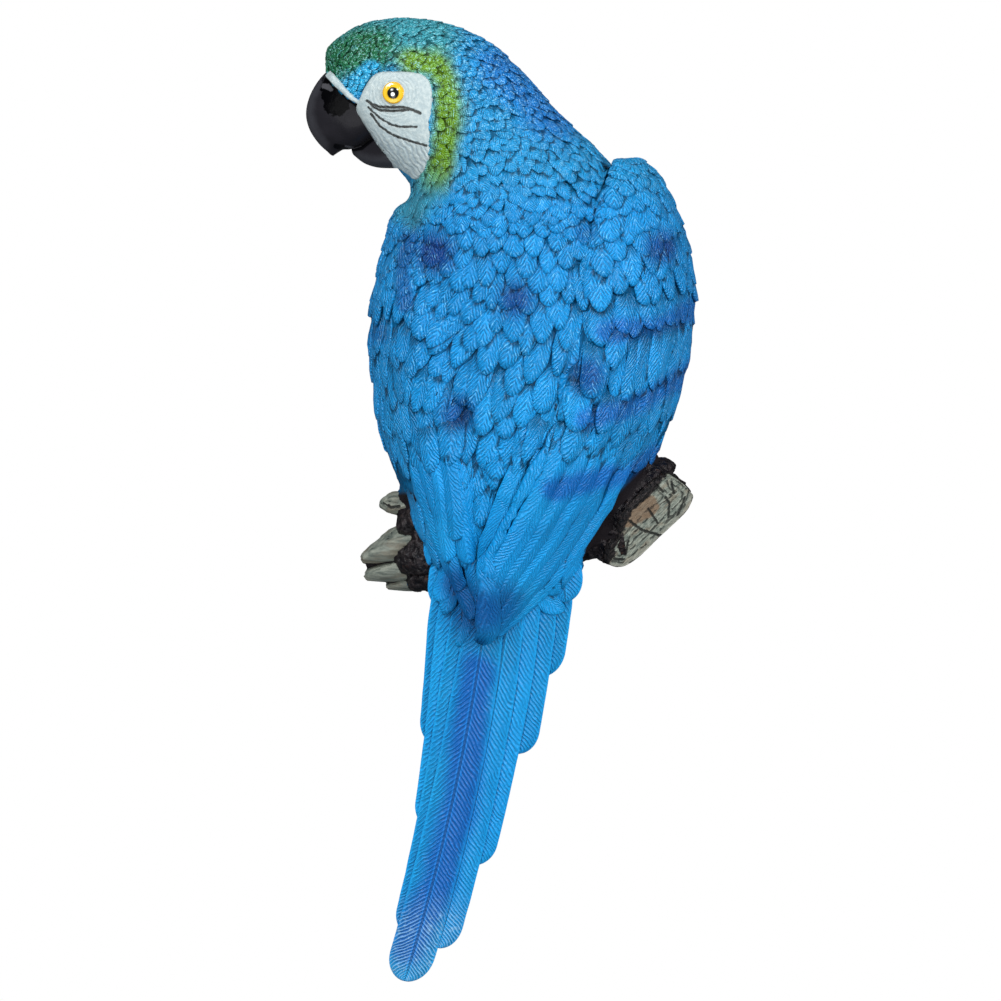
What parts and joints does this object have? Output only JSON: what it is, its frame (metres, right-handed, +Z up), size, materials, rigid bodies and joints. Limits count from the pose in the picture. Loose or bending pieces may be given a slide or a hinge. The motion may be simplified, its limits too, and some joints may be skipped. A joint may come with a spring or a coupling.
{
  "type": "wall-hung parrot figurine",
  "caption": "Flat-backed cast parrot seen from behind, head turned in profile, perched on a short log with a long stepped tail, for hanging on a wall or tree.",
  "frame": {"origin": "on the flat back, at the middle of the figurine's height and width", "axes": "+Z up the bird's height, +Y out of the flat back into the wall, +X to the viewer's right; the beak points to -X"},
  "size_m": [0.1255, 0.0665, 0.3109],
  "materials": {
    "painted_resin": "cast resin, hand painted blue over moulded feathers, satin; green and white on the head, gloss black beak, grey-brown log, bare resin flat back"
  },
  "bodies": {
    "root": {"parrot_figurine": "painted_resin"}
  },
  "joints": []
}
